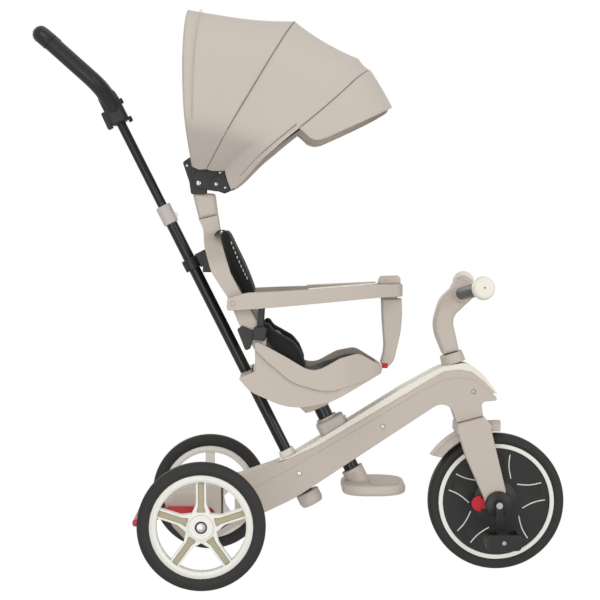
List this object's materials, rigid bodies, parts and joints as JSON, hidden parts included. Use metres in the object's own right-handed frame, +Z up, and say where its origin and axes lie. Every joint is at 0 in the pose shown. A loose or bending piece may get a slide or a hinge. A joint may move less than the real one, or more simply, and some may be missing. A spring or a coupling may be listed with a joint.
{
  "type": "children's tricycle",
  "caption": "Convertible children's tricycle: steered spoked front wheel with pedals, moulded beam, harness seat with safety bar, folding sun canopy and telescopic push handle.",
  "frame": {"origin": "centre of the bounding box's bottom face, on the ground between the wheels", "axes": "+X towards the front wheel, +Y to the rider's left, +Z up"},
  "size_m": [0.9695, 0.4788, 1.0198],
  "materials": {
    "taupe_plastic": "fine matte grain",
    "cream_plastic": "smooth matte",
    "grey_plastic": "satin",
    "wheel_plastic": "satin",
    "black_plastic": "fine matte grain",
    "red_plastic": "semi-gloss",
    "tyre_foam": "matte moulded foam",
    "grip_rubber": "soft matte",
    "black_tube": "satin black",
    "bright_steel": "brushed",
    "black_fabric": "woven",
    "canopy_fabric": "tight plain weave"
  },
  "bodies": {
    "frame": {"frame_lower_shell": "taupe_plastic", "frame_upper_shell": "taupe_plastic", "frame_top_trim": "cream_plastic", "rear_housing": "taupe_plastic", "rear_axle_rod": "bright_steel", "axle_sleeves": "black_plastic", "head_rings": "taupe_plastic", "frame_screws": "bright_steel", "seat_collar": "grey_plastic"},
    "seat_release_button": {"seat_release_button": "cream_plastic"},
    "brake": {"brake_pedal": "red_plastic"},
    "rear_wheel_right": {"rear_tyre_right": "tyre_foam", "rear_rim_right": "wheel_plastic"},
    "rear_wheel_left": {"rear_tyre_left": "tyre_foam", "rear_rim_left": "wheel_plastic"},
    "steering": {"fork": "taupe_plastic", "steerer_tube": "black_tube", "fork_bosses": "black_plastic", "fender": "taupe_plastic", "handlebar_stem": "taupe_plastic", "handlebar_tube": "black_tube", "handlebar_grips": "grip_rubber", "bar_end_caps": "cream_plastic"},
    "front_wheel": {"front_tyre": "tyre_foam", "front_rim": "black_plastic", "front_rim_ring": "wheel_plastic"},
    "crank": {"crank_axle": "bright_steel", "crank_arms": "black_plastic"},
    "pedal_right": {"pedal_right": "black_plastic"},
    "pedal_left": {"pedal_left": "black_plastic"},
    "freewheel_slider": {"freewheel_slider": "red_plastic"},
    "tie_rod": {"tie_rod": "black_tube"},
    "handle_lower": {"lower_tube": "black_tube", "steering_hub": "taupe_plastic", "clamp_collar": "grey_plastic"},
    "collar_latch": {"collar_latch": "cream_plastic"},
    "handle_upper": {"upper_tube": "black_tube", "handle_housing": "black_plastic", "handle_grip": "grip_rubber"},
    "seat": {"seat_post": "black_tube", "seat_shell": "taupe_plastic", "seat_bucket": "taupe_plastic", "backrest_frame": "taupe_plastic", "backrest_plate": "black_plastic", "handle_clip": "black_plastic", "seat_cushion": "black_fabric", "harness": "black_fabric", "front_post": "taupe_plastic", "footrest": "taupe_plastic", "seat_pins": "taupe_plastic", "canopy_rib_rear": "black_plastic", "canopy_back_panel": "canopy_fabric"},
    "post_button": {"post_button": "red_plastic"},
    "safety_bar": {"safety_bar": "taupe_plastic", "bar_cover": "cream_plastic"},
    "canopy_mid": {"canopy_rib_mid": "black_plastic", "canopy_rear_panel": "canopy_fabric"},
    "canopy_front": {"canopy_rib_front": "black_plastic", "canopy_front_panel": "canopy_fabric", "canopy_visor": "canopy_fabric"}
  },
  "joints": [
    {"name": "steering_turn", "type": "hinge", "parent": "frame", "child": "steering", "pos_m": [0.361, 0, 0.125], "axis": [-0.2924, 0, 0.9563], "range_deg": [-35, 35]},
    {"name": "handle_turn", "type": "hinge", "parent": "frame", "child": "handle_lower", "pos_m": [0.0164, 0, 0.1337], "axis": [-0.4489, 0, 0.8936], "range_deg": [-35, 35]},
    {"name": "tie_rod_travel", "type": "slide", "parent": "frame", "child": "tie_rod", "axis": [0.8977, 0, 0.4406], "range_m": [-0.0125, 0.0125]},
    {"name": "handle_telescope", "type": "slide", "parent": "handle_lower", "child": "handle_upper", "axis": [-0.4489, 0, 0.8936], "range_m": [-0.15, 0]},
    {"name": "latch_press", "type": "slide", "parent": "handle_lower", "child": "collar_latch", "axis": [0.8936, 0, 0.4489], "range_m": [-0.0015, 0], "stiffness_N_per_m": 400, "springref_m": 0.001},
    {"name": "front_wheel_spin", "type": "hinge", "parent": "steering", "child": "front_wheel", "pos_m": [0.361, 0, 0.125], "axis": [0, 1, 0], "continuous": true},
    {"name": "crank_spin", "type": "hinge", "parent": "steering", "child": "crank", "pos_m": [0.361, 0, 0.125], "axis": [0, 1, 0], "continuous": true},
    {"name": "pedal_right_spin", "type": "hinge", "parent": "crank", "child": "pedal_right", "pos_m": [0.361, -0.113, 0.069], "axis": [0, 1, 0], "continuous": true},
    {"name": "pedal_left_spin", "type": "hinge", "parent": "crank", "child": "pedal_left", "pos_m": [0.361, 0.113, 0.181], "axis": [0, 1, 0], "continuous": true},
    {"name": "freewheel_shift", "type": "slide", "parent": "steering", "child": "freewheel_slider", "axis": [1, 0, 0], "range_m": [0, 0.002]},
    {"name": "rear_wheel_right_spin", "type": "hinge", "parent": "frame", "child": "rear_wheel_right", "pos_m": [-0.174, -0.221, 0.112], "axis": [0, 1, 0], "continuous": true},
    {"name": "rear_wheel_left_spin", "type": "hinge", "parent": "frame", "child": "rear_wheel_left", "pos_m": [-0.174, 0.221, 0.112], "axis": [0, 1, 0], "continuous": true},
    {"name": "brake_press", "type": "hinge", "parent": "frame", "child": "brake", "pos_m": [-0.174, 0, 0.112], "axis": [0, -1, 0], "range_deg": [0, 8]},
    {"name": "seat_height", "type": "slide", "parent": "frame", "child": "seat", "axis": [-0.4489, 0, 0.8936], "range_m": [-0.003, 0.008]},
    {"name": "seat_button_press", "type": "slide", "parent": "frame", "child": "seat_release_button", "axis": [0.8936, 0, 0.4489], "range_m": [-0.003, 0], "stiffness_N_per_m": 600, "springref_m": 0.001},
    {"name": "safety_bar_lift", "type": "hinge", "parent": "seat", "child": "safety_bar", "pos_m": [-0.121, 0, 0.495], "axis": [0, -1, 0], "range_deg": [0, 50]},
    {"name": "post_button_press", "type": "slide", "parent": "seat", "child": "post_button", "axis": [0, -1, 0], "range_m": [-0.002, 0], "stiffness_N_per_m": 400, "springref_m": 0.001},
    {"name": "canopy_fold", "type": "hinge", "parent": "seat", "child": "canopy_mid", "pos_m": [-0.185, 0, 0.71], "axis": [0, -1, 0], "range_deg": [0, 18], "deforming": ["canopy_rear_panel"]},
    {"name": "visor_fold", "type": "hinge", "parent": "canopy_mid", "child": "canopy_front", "pos_m": [-0.1529, 0, 0.7081], "axis": [0, -1, 0], "range_deg": [0, 14], "deforming": ["canopy_front_panel"]}
  ],
  "couplings": [
    {"joint": "handle_turn", "follows": "steering_turn", "ratio": 1},
    {"joint": "tie_rod_travel", "follows": "steering_turn", "m_per_rad": -0.01878},
    {"joint": "crank_spin", "follows": "front_wheel_spin", "ratio": 1}
  ]
}
